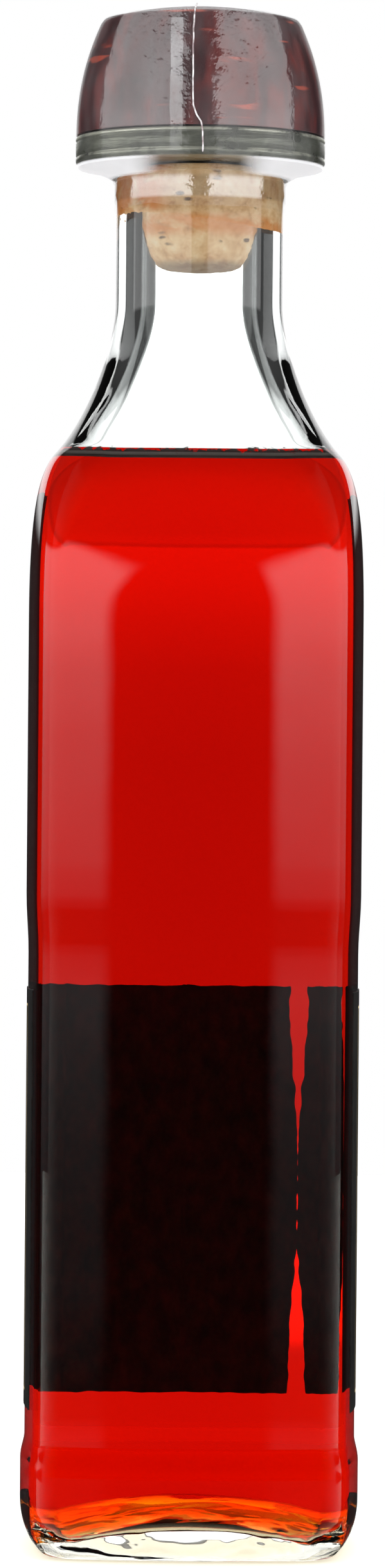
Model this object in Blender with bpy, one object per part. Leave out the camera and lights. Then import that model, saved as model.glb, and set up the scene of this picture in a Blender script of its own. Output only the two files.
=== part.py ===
"""A square bottle of bourbon with a round neck, a wood-topped cork stopper and a clear seal.

Metres, +Z up. The origin is the middle of the bottle's foot. The bare glass face looks along -Y.
"""

import math

import bmesh
import bpy

# Glass body, seen from the front
BODY_HALF = 0.0340
PANEL_HALF = 0.0335
BUMPER_HALF = 0.0343
FACE_RADIUS = 0.150
CORNER_RADIUS = 0.0065
INNER_CORNER_LOSS = 0.7
BODY_WALL = 0.0028
SHOULDER_WALL = 0.0024
WALL_THINS_FROM = 0.2120
WALL_THIN_AT = 0.2300
WALL_GROWS_FROM = 0.2180

# Foot of the bottle
FOOT_HALF = 0.0290
FOOT_BAND = 0.0022
FOOT_PUSH_UP = 0.0040
HEEL_HEIGHT = 0.0100
BUMPER_TOP = 0.0178
PANEL_LOW = 0.0227
PANEL_HIGH = 0.1200
PANEL_FADE = 0.0120
PUSH_UP_RINGS = (0.006, 0.012, 0.018)
FLOOR_LOW = 0.0042
FLOOR_RISE = 0.0065
FLOOR_RISE_RADIUS = 0.0335
FLOOR_FILLET = 0.0060
FLOOR_RINGS = (0.25, 0.5, 0.72)
FILLET_STEPS = 4
INSIDE_WALL_FROM = 0.0218

# Shoulder: a hollow curve down from the neck, then a full one into the body
SHOULDER_FOOT = 0.1880
SHOULDER_TURN = (0.0286, 0.2214)
SHOULDER_SLOPE = math.radians(42)
SHOULDER_FULLNESS = 0.0235
TURN_PULL_BELOW = 0.005
TURN_PULL_ABOVE = 0.008
NECK_PULL = 0.010
NECK_FOOT = 0.2520
ROUND_FROM = 0.2480
SQUARE_FROM = 0.1990
SQUARE_CORNER_SHARE = 0.4

# Neck and lip
NECK_RADIUS = 0.0169
LIP_RADIUS = 0.0172
LIP_LOW = 0.2725
LIP_STEP = 0.0012
LIP_TOP = 0.2779
LIP_ROUND = 0.0018
BORE_RADIUS = 0.0118
BORE_ROUND = 0.0012

# Bourbon
FILL_LEVEL = 0.2196
LIQUID_GAP = 0.0003
LEVEL_CLEAR = 0.0008

# Stopper
STOPPER_FOOT = 0.2797
CORK_RADIUS = 0.0115
CORK_FOOT = 0.2583
CORK_TAPER = (0.0066, 0.0068)
RING_RADIUS = 0.0253
RING_TOP = 0.2857
RING_EDGE = 0.0008
CAP_TOP = 0.3090
CAP_TOP_RADIUS = 0.0204
CAP_FOOT_RADIUS = 0.0252
CAP_FOOT_PULL = 0.010
CAP_TOP_PULL = (0.0026, 0.0065)
CAP_DOME = 0.0028
CAP_EDGE = 0.0006
CAP_SIDE_STEPS = 8
CAP_DOME_STEPS = 5
STOPPER_GAP = 0.0003

# Clear seal shrunk over the stopper and the lip
SEAL_THICK = 0.00020
SEAL_GAP = 0.00010
SEAL_TOP_LAP = 0.0050
SEAL_FOOT = 0.2706
SEAL_LIP_LEAVES = (0.0022, 0.0008)
SEAL_LIP_FLARE = 0.0006
SEAL_UNDER_RING = (0.0206, 0.0011)
SEAL_RING_TURN = (0.0006, 0.0003)
SEAL_DOME_END = 0.45
SEAL_SEAM_OUT = 0.00035
SEAL_SEAM_X = -0.0012

# Paper labels on the three faces behind the bare one
LABEL_LOW = 0.0289
LABEL_HIGH = 0.1128
LABEL_THICK = 0.00022
LABEL_GAP = 0.00008
MAIN_LABEL_END = 0.0178
SIDE_LABEL_START = 0.0211
LABEL_FRONT_EDGE = -0.0215
LABEL_BOW = 0.00135
LABEL_FACE_STEPS = 8
LABEL_END_CLEAR = 0.0010
LABEL_ROWS = 7

FACE_STEPS = 4
CORNER_STEPS = 5
TURNED_STEPS = 36


def mix(a, b, share):
    return a + (b - a) * share


def smooth(share):
    share = min(1.0, max(0.0, share))
    return share * share * (3 - 2 * share)


def bezier(start, start_pull, end_pull, end, steps):
    """Points of a cubic curve, without its first point."""
    points = []
    for step in range(1, steps + 1):
        t = step / steps
        weights = ((1 - t) ** 3, 3 * t * (1 - t) ** 2, 3 * t * t * (1 - t), t ** 3)
        corners = (start, start_pull, end_pull, end)
        points.append(tuple(sum(w * c[k] for w, c in zip(weights, corners)) for k in (0, 1)))
    return points


def arc(centre, radii, start_deg, end_deg, steps):
    """Points of an elliptical arc from one angle to another, both ends included."""
    points = []
    for step in range(steps + 1):
        angle = math.radians(mix(start_deg, end_deg, step / steps))
        points.append((centre[0] + radii[0] * math.cos(angle), centre[1] + radii[1] * math.sin(angle)))
    return points


def squareness(z):
    """0 where the glass is round, as in the neck, and 1 where it is square."""
    return smooth((ROUND_FROM - z) / (ROUND_FROM - SQUARE_FROM))


def section(half, square, inset=0.0, face_steps=FACE_STEPS):
    """One level cut through the glass: four bowed faces joined by round corners, or a circle."""
    face = FACE_RADIUS - inset
    corner = min(CORNER_RADIUS - INNER_CORNER_LOSS * inset, SQUARE_CORNER_SHARE * half)
    spare = face - half
    middle = (math.sqrt(2 * (face - corner) ** 2 - spare ** 2) - spare) / 2
    turn = math.atan2(middle, middle + spare)
    steps = face_steps + CORNER_STEPS
    round_turn = math.pi / 4 * face_steps / steps
    points = []
    for quarter in range(4):
        facing = quarter * math.pi / 2
        for step in range(steps):
            if step < face_steps:
                angle = mix(-turn, turn, step / face_steps)
                out, along = face * math.cos(angle) - spare, face * math.sin(angle)
            else:
                angle = mix(turn, math.pi / 2 - turn, (step - face_steps) / CORNER_STEPS)
                out, along = middle + corner * math.cos(angle), middle + corner * math.sin(angle)
            angle = step * math.pi / 2 / steps - round_turn
            round_out, round_along = half * math.cos(angle), half * math.sin(angle)
            out, along = mix(round_out, out, square), mix(round_along, along, square)
            points.append(turned_point(out, along, facing))
    return points


def turned_point(out, along, facing):
    return (
        out * math.cos(facing) - along * math.sin(facing),
        out * math.sin(facing) + along * math.cos(facing),
    )


def outer_profile():
    """(half-width, height) of the glass from the edge of its foot up to the lip."""
    inner_foot = FOOT_HALF - FOOT_BAND
    points = [(inner_foot, 0.0)]
    heel = (BUMPER_HALF - FOOT_HALF, HEEL_HEIGHT)
    points += arc((FOOT_HALF, HEEL_HEIGHT), heel, -90, 0, 6)
    points += [(BUMPER_HALF, BUMPER_TOP), (PANEL_HALF, PANEL_LOW)]
    points += [(PANEL_HALF, PANEL_HIGH)]
    points += [(mix(PANEL_HALF, BODY_HALF, smooth(t)), PANEL_HIGH + t * PANEL_FADE) for t in (0.35, 0.65, 1.0)]
    points += [(BODY_HALF, SHOULDER_FOOT)]
    slope = (math.sin(SHOULDER_SLOPE), -math.cos(SHOULDER_SLOPE))
    turn_x, turn_z = SHOULDER_TURN
    points += bezier(
        (BODY_HALF, SHOULDER_FOOT),
        (BODY_HALF, SHOULDER_FOOT + SHOULDER_FULLNESS),
        (turn_x + TURN_PULL_BELOW * slope[0], turn_z + TURN_PULL_BELOW * slope[1]),
        SHOULDER_TURN,
        7,
    )
    points += bezier(
        SHOULDER_TURN,
        (turn_x - TURN_PULL_ABOVE * slope[0], turn_z - TURN_PULL_ABOVE * slope[1]),
        (NECK_RADIUS, NECK_FOOT - NECK_PULL),
        (NECK_RADIUS, NECK_FOOT),
        8,
    )
    points += [(NECK_RADIUS, LIP_LOW), (LIP_RADIUS, LIP_LOW + LIP_STEP)]
    points += arc((LIP_RADIUS - LIP_ROUND, LIP_TOP - LIP_ROUND), (LIP_ROUND, LIP_ROUND), 0, 90, 4)
    return points


def wall(z):
    """Thickness of the glass: even in the body, and thick in the neck round the bore."""
    thinning = smooth((z - WALL_THINS_FROM) / (WALL_THIN_AT - WALL_THINS_FROM))
    growing = smooth((z - WALL_GROWS_FROM) / (NECK_FOOT - WALL_GROWS_FROM))
    return mix(mix(BODY_WALL, SHOULDER_WALL, thinning), NECK_RADIUS - BORE_RADIUS, growing)


def floor_height(radius):
    """The inside floor bulges up in the middle, so it is lowest in the four corners."""
    return FLOOR_LOW + FLOOR_RISE * max(0.0, 1 - (radius / FLOOR_RISE_RADIUS) ** 2)


def outer_half_at(z, profile):
    for (half_a, z_a), (half_b, z_b) in zip(profile, profile[1:]):
        if z_a <= z <= z_b and z_b > z_a:
            return mix(half_a, half_b, (z - z_a) / (z_b - z_a))
    return profile[-1][0]


def inner_rings(gap, top):
    """Rings of the hollow from its floor up to a height, each inset by a gap from the glass."""
    profile = [point for point in outer_profile() if point[1] >= HEEL_HEIGHT]
    rings = []
    side = BUMPER_HALF - BODY_WALL - gap
    for share in FLOOR_RINGS:
        loop = section(side * share, smooth(share * 1.6), BODY_WALL)
        rings.append([(x, y, floor_height(math.hypot(x, y)) + gap) for x, y in loop])
    for step in range(FILLET_STEPS + 1):
        angle = math.pi / 2 * step / FILLET_STEPS
        half = side - FLOOR_FILLET * (1 - math.sin(angle))
        lift = FLOOR_FILLET * (1 - math.cos(angle))
        loop = section(half, 1.0, BODY_WALL)
        rings.append([(x, y, floor_height(math.hypot(x, y)) + lift + gap) for x, y in loop])
    levels = [z for half, z in profile if INSIDE_WALL_FROM < z <= NECK_FOOT]
    levels = [z for z in levels if z < top - LEVEL_CLEAR]
    if top < LIP_TOP:
        levels.append(top)
    for z in levels:
        half = outer_half_at(z, profile) - wall(z) - gap
        square = squareness(z)
        rings.append([(x, y, z) for x, y in section(half, square, BODY_WALL * square)])
    return rings


def mesh_object(name, rings, colour, roughness, metallic=0.0, glassy=0.0):
    """Joins the rings in order, closes both ends and makes the object."""
    work = bmesh.new()
    rows = [[work.verts.new(point) for point in ring] for ring in rings]
    for low, high in zip(rows, rows[1:]):
        for here in range(len(low)):
            there = (here + 1) % len(low)
            work.faces.new((low[here], low[there], high[there], high[here]))
    for row, outward in ((rows[0], -1), (rows[-1], 1)):
        middle = work.verts.new([sum(vert.co[k] for vert in row) / len(row) for k in range(3)])
        for here in range(len(row)):
            there = (here + 1) % len(row)
            corners = (row[here], row[there], middle)
            work.faces.new(corners if outward > 0 else corners[::-1])
    return finish_mesh(name, work, colour, roughness, metallic, glassy)


def finish_mesh(name, work, colour, roughness, metallic=0.0, glassy=0.0):
    bmesh.ops.remove_doubles(work, verts=work.verts, dist=1e-7)
    bmesh.ops.recalc_face_normals(work, faces=work.faces)
    mesh = bpy.data.meshes.new(name)
    work.to_mesh(mesh)
    work.free()
    mesh.shade_smooth()
    mesh.set_sharp_from_angle(angle=math.radians(35))
    item = bpy.data.objects.new(name, mesh)
    bpy.context.scene.collection.objects.link(item)
    item.data.materials.append(finish(name, colour, roughness, metallic, glassy))
    return item


def finish(name, colour, roughness, metallic, glassy):
    material = bpy.data.materials.new(name)
    material.use_nodes = True
    shader = material.node_tree.nodes["Principled BSDF"]
    shader.inputs["Base Color"].default_value = (*colour, 1.0)
    shader.inputs["Roughness"].default_value = roughness
    shader.inputs["Metallic"].default_value = metallic
    shader.inputs["Transmission Weight"].default_value = glassy
    return material


def turned(name, profile, colour, roughness, metallic=0.0, glassy=0.0):
    """Spins an open profile that starts and ends on the axis, or a closed one off it."""
    work = bmesh.new()
    chain = [work.verts.new((radius, 0.0, z)) for radius, z in profile]
    edges = [work.edges.new(pair) for pair in zip(chain, chain[1:])]
    if min(radius for radius, _ in profile) > 1e-6:
        edges.append(work.edges.new((chain[-1], chain[0])))
    bmesh.ops.spin(
        work,
        geom=chain + edges,
        cent=(0, 0, 0),
        axis=(0, 0, 1),
        angle=2 * math.pi,
        steps=TURNED_STEPS,
        use_duplicate=False,
    )
    return finish_mesh(name, work, colour, roughness, metallic, glassy)


def make_bottle():
    """Clear glass, open at the mouth: underside, outside, lip, bore and inside."""
    rings = []
    for half in PUSH_UP_RINGS:
        share = half / (FOOT_HALF - FOOT_BAND)
        lift = FOOT_PUSH_UP * (1 - share ** 2) ** 1.5
        rings.append([(x, y, lift) for x, y in section(half, smooth(share * 1.2))])
    for half, z in outer_profile():
        rings.append([(x, y, z) for x, y in section(half, squareness(z))])
    mouth = arc((BORE_RADIUS + BORE_ROUND, LIP_TOP - BORE_ROUND), (BORE_ROUND, BORE_ROUND), 90, 180, 3)
    rings += [[(x, y, z) for x, y in section(half, 0.0)] for half, z in mouth]
    rings += inner_rings(0.0, LIP_TOP)[::-1]
    return mesh_object("bottle", rings, (0.90, 0.94, 0.93), 0.02, glassy=1.0)


def make_bourbon():
    """The drink fills the hollow up to its level."""
    rings = inner_rings(LIQUID_GAP, FILL_LEVEL)
    return mesh_object("bourbon", rings, (0.62, 0.05, 0.01), 0.02, glassy=1.0)


def make_cork():
    """Natural cork, pressed into the bore and tapered at its foot."""
    head = STOPPER_FOOT - STOPPER_GAP
    taper_wide, taper_tall = CORK_TAPER
    profile = [(0.0, CORK_FOOT)]
    profile += arc((CORK_RADIUS - taper_wide, CORK_FOOT + taper_tall), CORK_TAPER, -90, 0, 5)
    profile += [(CORK_RADIUS, LIP_TOP), (CORK_RADIUS, head), (0.0, head)]
    return turned("cork", profile, (0.62, 0.42, 0.24), 0.85)


def make_ring():
    """Pewter-coloured ring under the wooden cap, with softened edges."""
    low, high = STOPPER_FOOT, RING_TOP - STOPPER_GAP
    profile = [(0.0, low), (RING_RADIUS - RING_EDGE, low)]
    profile += arc((RING_RADIUS - RING_EDGE, low + RING_EDGE), (RING_EDGE, RING_EDGE), -60, 0, 2)
    profile += [(RING_RADIUS, high - RING_EDGE / 2), (RING_RADIUS - RING_EDGE / 2, high), (0.0, high)]
    return turned("stopper_ring", profile, (0.42, 0.42, 0.38), 0.30, metallic=1.0)


def cap_profile():
    """(radius, height) of the wooden cap's side and domed top, from its foot to the axis."""
    side = bezier(
        (CAP_FOOT_RADIUS, RING_TOP),
        (CAP_FOOT_RADIUS, RING_TOP + CAP_FOOT_PULL),
        (CAP_TOP_RADIUS + CAP_TOP_PULL[0], CAP_TOP - CAP_TOP_PULL[1]),
        (CAP_TOP_RADIUS, CAP_TOP - CAP_EDGE),
        CAP_SIDE_STEPS,
    )
    points = [(CAP_FOOT_RADIUS, RING_TOP)] + side
    for step in range(CAP_DOME_STEPS + 1):
        radius = (CAP_TOP_RADIUS - CAP_EDGE) * (1 - step / CAP_DOME_STEPS)
        points.append((radius, CAP_TOP + CAP_DOME * (1 - (radius / CAP_TOP_RADIUS) ** 2)))
    return points


def make_cap():
    """Turned and stained wooden cap, wider at its foot, with a low dome on top."""
    profile = [(0.0, RING_TOP)] + cap_profile()
    return turned("stopper_cap", profile, (0.13, 0.025, 0.028), 0.35)


def offset(profile, distance):
    """The profile moved outwards by a distance, along the mean normal at each point."""
    moved = []
    for index, (radius, z) in enumerate(profile):
        before = profile[max(0, index - 1)]
        after = profile[min(len(profile) - 1, index + 1)]
        run, rise = after[0] - before[0], after[1] - before[1]
        length = math.hypot(run, rise)
        moved.append((radius + distance * rise / length, z - distance * run / length))
    return moved


def seal_path():
    """The line that the seal follows, from the neck up over the lip, ring, cap and rim."""
    leaves, clears = SEAL_LIP_LEAVES
    under_radius, under_drop = SEAL_UNDER_RING
    turn_in, turn_drop = SEAL_RING_TURN
    path = [(LIP_RADIUS, SEAL_FOOT), (LIP_RADIUS, LIP_TOP - leaves)]
    path += [(LIP_RADIUS + SEAL_LIP_FLARE, LIP_TOP - clears)]
    path += [(under_radius, STOPPER_FOOT - under_drop)]
    path += [(RING_RADIUS - turn_in, STOPPER_FOOT - turn_drop)]
    path += [(RING_RADIUS, STOPPER_FOOT + turn_in), (RING_RADIUS, RING_TOP)]
    rim = CAP_TOP_RADIUS - SEAL_TOP_LAP
    path += [point for point in cap_profile()[1:] if point[0] > rim]
    path += [(rim, CAP_TOP + SEAL_DOME_END * CAP_DOME)]
    return path


def make_seal():
    """Clear shrink seal: a thin turned skin with its welded seam standing out down the front."""
    inner = offset(seal_path(), SEAL_GAP)
    outer = offset(seal_path(), SEAL_GAP + SEAL_THICK)
    seal = turned("seal", inner + outer[::-1], (0.92, 0.94, 0.96), 0.08, glassy=1.0)
    seam_angle = math.atan2(-1.0, SEAL_SEAM_X / RING_RADIUS)
    step_angle = 2 * math.pi / TURNED_STEPS
    seam_step = round(seam_angle / step_angle) * step_angle
    outside = {(round(radius, 6), round(z, 6)) for radius, z in outer}
    for vert in seal.data.vertices:
        radius = math.hypot(vert.co.x, vert.co.y)
        angle = math.atan2(vert.co.y, vert.co.x)
        on_seam = abs(angle - seam_step) < step_angle / 4
        if on_seam and (round(radius, 6), round(vert.co.z, 6)) in outside:
            vert.co.x *= 1 + SEAL_SEAM_OUT / radius
            vert.co.y *= 1 + SEAL_SEAM_OUT / radius
    return seal


def face_point(along, push):
    """How far out the panel's face is, a distance along it from its middle."""
    face = FACE_RADIUS + push
    return math.sqrt(face ** 2 - along ** 2) - (face - PANEL_HALF - push)


def label_path(push, far_end, most_far_end):
    """From near the bare face, along the right side, round the corner, to an end on the far face."""
    loop = section(PANEL_HALF + push, 1.0, -push, LABEL_FACE_STEPS)
    path = [(face_point(LABEL_FRONT_EDGE, push), LABEL_FRONT_EDGE)]
    for x, y in loop[: 2 * LABEL_FACE_STEPS + CORNER_STEPS]:
        if y > LABEL_FRONT_EDGE + LABEL_END_CLEAR and x > most_far_end + LABEL_END_CLEAR:
            path.append((x, y))
    return path + [(far_end, face_point(far_end, push))]


def make_label(name, far_end, bow, side, colour):
    """A paper label bent round the panel, whose end on the far face bows in or out at mid-height."""
    work = bmesh.new()
    rows = []
    for row in range(LABEL_ROWS):
        height = row / (LABEL_ROWS - 1)
        z = mix(LABEL_LOW, LABEL_HIGH, height)
        end = far_end + bow * math.sin(math.pi * height) ** 2
        inner = label_path(LABEL_GAP, end, far_end)
        outer = label_path(LABEL_GAP + LABEL_THICK, end, far_end)
        rows.append([work.verts.new((side * x, y, z)) for x, y in inner + outer[::-1]])
    for low, high in zip(rows, rows[1:]):
        for here in range(len(low)):
            there = (here + 1) % len(low)
            work.faces.new((low[here], low[there], high[there], high[here]))
    for row in (rows[0], rows[-1]):
        last = len(row) - 1
        for here in range(len(row) // 2 - 1):
            work.faces.new((row[here], row[here + 1], row[last - here - 1], row[last - here]))
    return finish_mesh(name, work, colour, 0.7)


def make_labels():
    make_label("label_side", SIDE_LABEL_START, -LABEL_BOW, 1, (0.015, 0.014, 0.014))
    make_label("label_main", -MAIN_LABEL_END, -LABEL_BOW, -1, (0.015, 0.014, 0.014))


def main():
    for item in list(bpy.data.objects):
        bpy.data.objects.remove(item)
    make_bottle()
    make_bourbon()
    make_cork()
    make_ring()
    make_cap()
    make_seal()
    make_labels()


main()
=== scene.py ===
import math

import bpy
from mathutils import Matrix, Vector, noise


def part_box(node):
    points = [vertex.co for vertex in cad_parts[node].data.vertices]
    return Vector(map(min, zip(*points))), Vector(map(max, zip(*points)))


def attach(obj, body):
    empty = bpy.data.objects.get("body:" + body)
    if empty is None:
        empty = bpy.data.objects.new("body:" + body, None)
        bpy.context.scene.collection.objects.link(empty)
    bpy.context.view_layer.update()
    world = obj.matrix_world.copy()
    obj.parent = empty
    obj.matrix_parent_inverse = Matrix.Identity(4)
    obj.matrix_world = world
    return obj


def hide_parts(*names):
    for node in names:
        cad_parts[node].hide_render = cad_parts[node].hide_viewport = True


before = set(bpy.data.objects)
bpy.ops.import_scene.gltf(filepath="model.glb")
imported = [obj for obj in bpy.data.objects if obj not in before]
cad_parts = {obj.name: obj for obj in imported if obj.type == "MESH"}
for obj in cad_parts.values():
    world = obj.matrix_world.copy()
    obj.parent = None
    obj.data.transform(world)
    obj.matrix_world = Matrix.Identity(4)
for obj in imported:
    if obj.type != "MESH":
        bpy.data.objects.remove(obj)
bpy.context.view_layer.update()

print("frame loaded:", ", ".join(sorted(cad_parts)))

# heights in the frame
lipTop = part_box("bottle")[1].z
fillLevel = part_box("bourbon")[1].z
corkFoot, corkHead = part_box("cork")[0].z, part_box("cork")[1].z
ringFoot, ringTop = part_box("stopper_ring")[0].z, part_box("stopper_ring")[1].z
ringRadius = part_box("stopper_ring")[1].x
capFoot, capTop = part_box("stopper_cap")[0].z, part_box("stopper_cap")[1].z
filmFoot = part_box("seal")[0].z
labelLow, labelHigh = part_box("label_main")[0].z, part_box("label_main")[1].z


# small helpers for shapes

def mixed(a, b, share):
    return a + (b - a) * share


def eased(share):
    share = min(1.0, max(0.0, share))
    return share * share * (3 - 2 * share)


# points of a cubic curve after its first point
def curvePoints(start, startPull, endPull, end, steps):
    points = []
    for step in range(1, steps + 1):
        t = step / steps
        weights = ((1 - t) ** 3, 3 * t * (1 - t) ** 2, 3 * t * t * (1 - t), t ** 3)
        corners = (start, startPull, endPull, end)
        points.append(tuple(sum(w * c[k] for w, c in zip(weights, corners)) for k in (0, 1)))
    return points


# points of a round or oval arc, both ends included
def arcPoints(centre, radii, startDeg, endDeg, steps):
    points = []
    for step in range(steps + 1):
        angle = math.radians(mixed(startDeg, endDeg, step / steps))
        points.append((centre[0] + radii[0] * math.cos(angle), centre[1] + radii[1] * math.sin(angle)))
    return points


# radius on a chain of (radius, height) points, for a given height
def radiusAt(profile, z):
    for (radiusA, zA), (radiusB, zB) in zip(profile, profile[1:]):
        if zA <= z <= zB and zB > zA:
            return mixed(radiusA, radiusB, (z - zA) / (zB - zA))
    return profile[-1][0]


# a circle extruded and resized from ring to ring
def turnPiece(name, profile, sides):
    bpy.ops.object.select_all(action="DESELECT")
    radius, height = profile[0]
    bpy.ops.mesh.primitive_circle_add(vertices=sides, radius=radius, location=(0, 0, height))
    piece = bpy.context.object
    piece.name = name
    bpy.ops.object.transform_apply(location=True, rotation=True, scale=True)
    bpy.ops.object.mode_set(mode="EDIT")
    bpy.ops.mesh.select_all(action="SELECT")
    for (lastRadius, lastHeight), (radius, height) in zip(profile, profile[1:]):
        bpy.ops.mesh.extrude_region_move(TRANSFORM_OT_translate={"value": (0, 0, height - lastHeight)})
        grow = radius / lastRadius
        bpy.ops.transform.resize(value=(grow, grow, 1), center_override=(0, 0, height))
    bpy.ops.object.mode_set(mode="OBJECT")
    return piece


def editWhole(piece):
    bpy.ops.object.select_all(action="DESELECT")
    piece.select_set(True)
    bpy.context.view_layer.objects.active = piece
    bpy.ops.object.mode_set(mode="EDIT")
    bpy.ops.mesh.select_all(action="SELECT")


# fills the open ends, turns the faces outwards and shades the piece
def closePiece(piece, sharpDeg=40):
    editWhole(piece)
    bpy.ops.mesh.fill_holes(sides=0)
    bpy.ops.mesh.select_all(action="SELECT")
    bpy.ops.mesh.normals_make_consistent(inside=False)
    bpy.ops.object.mode_set(mode="OBJECT")
    bpy.ops.object.shade_smooth_by_angle(angle=math.radians(sharpDeg))


def addModifier(piece, kind, **settings):
    bpy.ops.object.select_all(action="DESELECT")
    piece.select_set(True)
    bpy.context.view_layer.objects.active = piece
    modifier = piece.modifiers.new(kind.title(), kind)
    for setting, value in settings.items():
        setattr(modifier, setting, value)
    bpy.ops.object.modifier_apply(modifier=modifier.name)


# turns an open sheet's faces outwards
def faceOutwards(piece):
    editWhole(piece)
    bpy.ops.mesh.normals_make_consistent(inside=False)
    bpy.ops.object.mode_set(mode="OBJECT")


# gives an open sheet its thickness and shades it
def thickenSheet(piece, thick, offset, sharpDeg):
    addModifier(piece, "SOLIDIFY", thickness=thick, offset=offset)
    bpy.ops.object.shade_smooth_by_angle(angle=math.radians(sharpDeg))


def placePiece(piece, nodes, materials):
    for material in materials:
        piece.data.materials.append(material)
    if nodes:
        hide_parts(*nodes)
    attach(piece, "root")
    print("made", piece.name, len(piece.data.polygons), "faces")


# small helpers for materials

def newMaterial(name, **values):
    material = bpy.data.materials.new(name)
    material.use_nodes = True
    shader = material.node_tree.nodes["Principled BSDF"]
    for socket, value in values.items():
        shader.inputs[socket.replace("_", " ")].default_value = value
    return material, material.node_tree, shader


# a material without the usual shader, for what only glows or lets light by
def bareMaterial(name):
    material, tree, shader = newMaterial(name)
    tree.nodes.remove(shader)
    return material, tree


def addNode(tree, kind, **settings):
    node = tree.nodes.new("ShaderNode" + kind)
    for setting, value in settings.items():
        if setting in node.inputs:
            node.inputs[setting].default_value = value
        else:
            setattr(node, setting, value)
    return node


def link(tree, output, socket):
    tree.links.new(output, socket)


def linkSurface(tree, shader):
    link(tree, shader.outputs[0], tree.nodes["Material Output"].inputs["Surface"])


def objectPlace(tree, scale=(1, 1, 1)):
    place = addNode(tree, "TexCoord")
    mapping = addNode(tree, "Mapping")
    mapping.inputs["Scale"].default_value = scale
    link(tree, place.outputs["Object"], mapping.inputs["Vector"])
    return mapping.outputs["Vector"]


def noiseOn(tree, place, scale, detail=3.0, roughness=0.5, distortion=0.0):
    texture = addNode(tree, "TexNoise", Scale=scale, Detail=detail, Roughness=roughness)
    texture.inputs["Distortion"].default_value = distortion
    link(tree, place, texture.inputs["Vector"])
    return texture.outputs["Fac"]


def doMath(tree, operation, a, b=None, c=None):
    node = addNode(tree, "Math", operation=operation)
    for index, value in enumerate((a, b, c)):
        if value is None:
            continue
        if isinstance(value, (int, float)):
            node.inputs[index].default_value = value
        else:
            link(tree, value, node.inputs[index])
    return node.outputs["Value"]


def times(tree, a, b):
    return doMath(tree, "MULTIPLY", a, b)


def plus(tree, a, b):
    return doMath(tree, "ADD", a, b)


def minus(tree, a, b):
    return doMath(tree, "SUBTRACT", a, b)


# 0 below low, 1 above high, eased between them
def smoothStep(tree, value, low, high):
    node = addNode(tree, "MapRange", interpolation_type="SMOOTHSTEP")
    node.inputs["From Min"].default_value = low
    node.inputs["From Max"].default_value = high
    link(tree, value, node.inputs["Value"])
    return node.outputs["Result"]


# 1 below low, 0 above high
def stepDown(tree, value, low, high):
    return minus(tree, 1.0, smoothStep(tree, value, low, high))


# 1 between two edges, each eased over its own (from, to), and 0 outside them
def between(tree, value, start, end):
    return minus(tree, smoothStep(tree, value, *start), smoothStep(tree, value, *end))


def ramp(tree, value, stops):
    node = addNode(tree, "ValToRGB")
    elements = node.color_ramp.elements
    while len(elements) < len(stops):
        elements.new(0.5)
    for element, (place, colour) in zip(elements, stops):
        element.position = place
        element.color = (*colour, 1.0)
    link(tree, value, node.inputs["Fac"])
    return node.outputs["Color"]


def mixColours(tree, share, a, b):
    node = addNode(tree, "Mix", data_type="RGBA")
    for socket, value in ((node.inputs[0], share), (node.inputs[6], a), (node.inputs[7], b)):
        if isinstance(value, (int, float)):
            socket.default_value = value
        elif isinstance(value, tuple):
            socket.default_value = (*value, 1.0)
        else:
            link(tree, value, socket)
    return node.outputs[2]


def bump(tree, height, distance, strength=1.0):
    node = addNode(tree, "Bump", Strength=strength, Distance=distance)
    link(tree, height, node.inputs["Height"])
    return node.outputs["Normal"]


def axes(tree):
    place = addNode(tree, "TexCoord")
    parts = addNode(tree, "SeparateXYZ")
    link(tree, place.outputs["Object"], parts.inputs["Vector"])
    return parts.outputs


# camera

shot = {
    "sensor": 0.036,             # long side
    "pixel": 0.1306e-3,          # size on the bottle's axis of one pixel of the photograph
    "rows": 2442,
    "distance": 1.2,
    "height": 0.157,
    "horizonRow": 1200,
    "side": -0.0005,
    "rollDeg": 0.5,
}


def makeCamera():
    pixelAngle = shot["pixel"] / shot["distance"]
    down = (shot["rows"] / 2 - shot["horizonRow"]) * pixelAngle
    bpy.ops.object.camera_add(
        location=(shot["side"], -shot["distance"], shot["height"]),
        rotation=(math.pi / 2 - down, -math.radians(shot["rollDeg"]), 0),
    )
    camera = bpy.context.object
    camera.name = "camera"
    camera.data.sensor_width = shot["sensor"] * 1000
    camera.data.lens = camera.data.sensor_width / (shot["rows"] * pixelAngle)
    camera.data.clip_start = 0.05
    bpy.context.scene.camera = camera
    bpy.context.scene.view_settings.view_transform = "Standard"


# light: one studio drawn on the sky

studio = {
    "white": 1.0,                # what the camera sees behind the bottle
    "soft": 1.25,                # soft light from all round on what isn't clear
    "backEdge": (13, 17),        # the lit backdrop ends this far round from straight behind, degrees
    "grazeEdge": (2, 6),         # and this far round where it is mirrored
    "highGrazeEdge": (21, 25),   # or this far, above the next two heights
    "highGrazeFrom": (3.2, 5.0),
    "boxSpread": (1.5, 9),       # higher up the soft boxes reach further in, between these heights
    "leftSpread": 8.5,
    "rightSpread": 4.0,
    "frontEdge": (73, 79),       # and light comes again from here round to the front
    "roofEdge": (38, 42),        # nothing lit above this
    "dark": 0.05,
    "leastGloss": 0.02,
    "leftBox": (12.6, 15.6, 102, 105),
    "rightBox": (11.6, 14.4, 93, 96),
    "boxRoof": (9, 12),
    "roofDip": (6, 26, 6.0),     # the roof slopes down by so much towards the middle
    "boxPeak": 3.0,
    "boxTones": (
        (-6, 0.01), (-5, 0.043), (-4, 0.058), (-3.1, 0.086), (-2.2, 0.14), (-1.4, 0.17),
        (-0.6, 0.26), (0.3, 0.36), (0.95, 0.48), (1.5, 0.62), (5, 0.7),
    ),
}

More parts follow.
